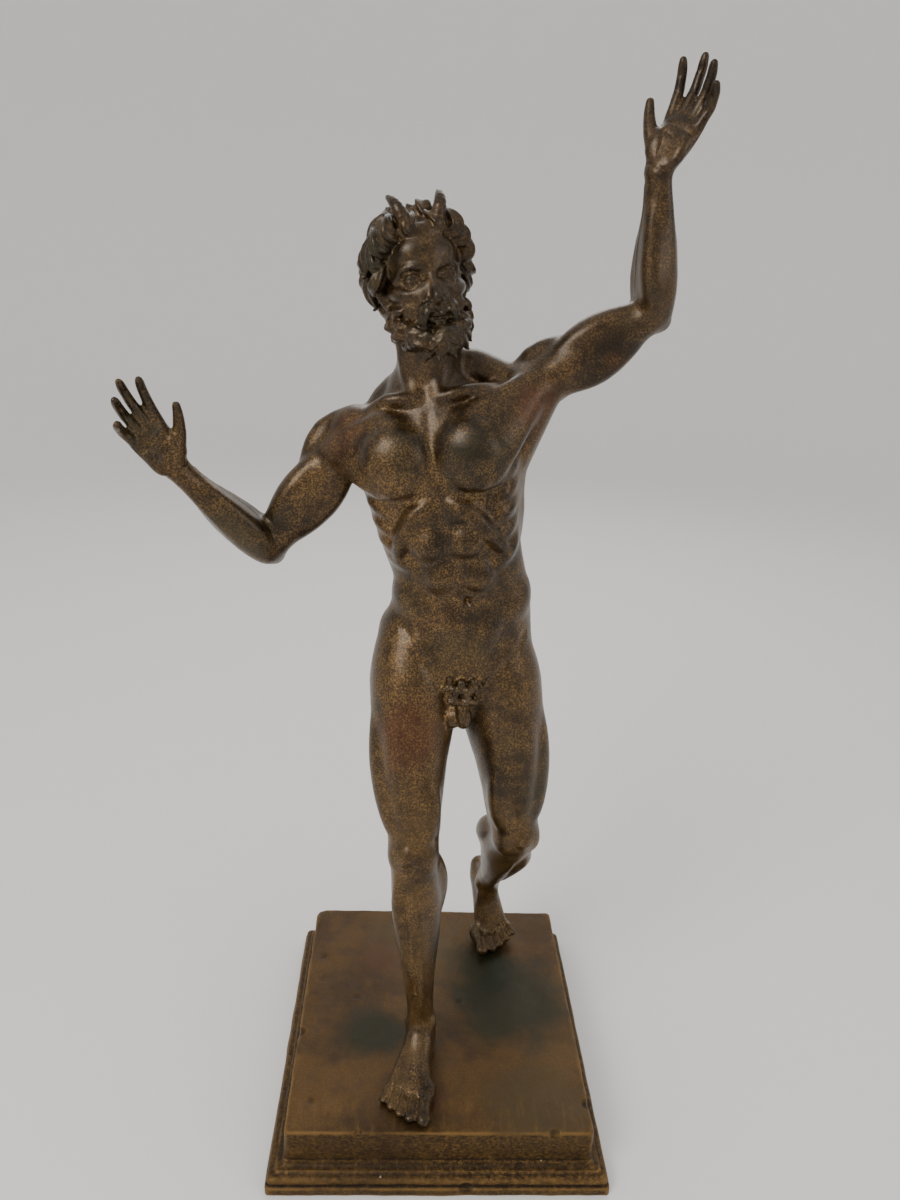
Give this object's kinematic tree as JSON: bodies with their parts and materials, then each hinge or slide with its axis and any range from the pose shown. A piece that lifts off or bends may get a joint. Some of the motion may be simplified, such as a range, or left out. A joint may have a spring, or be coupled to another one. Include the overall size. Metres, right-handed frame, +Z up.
{
  "type": "faun statue",
  "caption": "Patinated bronze statue of a bearded, horned faun striding with one arm raised, on a rectangular moulded plinth.",
  "frame": {"origin": "centre of the plinth's underside", "axes": "+Z up, the faun faces -Y, and +X is the faun's left and the viewer's right"},
  "size_m": [0.3615, 0.2796, 0.7738],
  "materials": {
    "figure_bronze": "waxed dark brown bronze patina mottled with ochre",
    "plinth_bronze": "waxed brown and green bronze patina, ochre on the edges"
  },
  "bodies": {
    "root": {"faun_figure": "figure_bronze", "plinth": "plinth_bronze"}
  },
  "joints": []
}
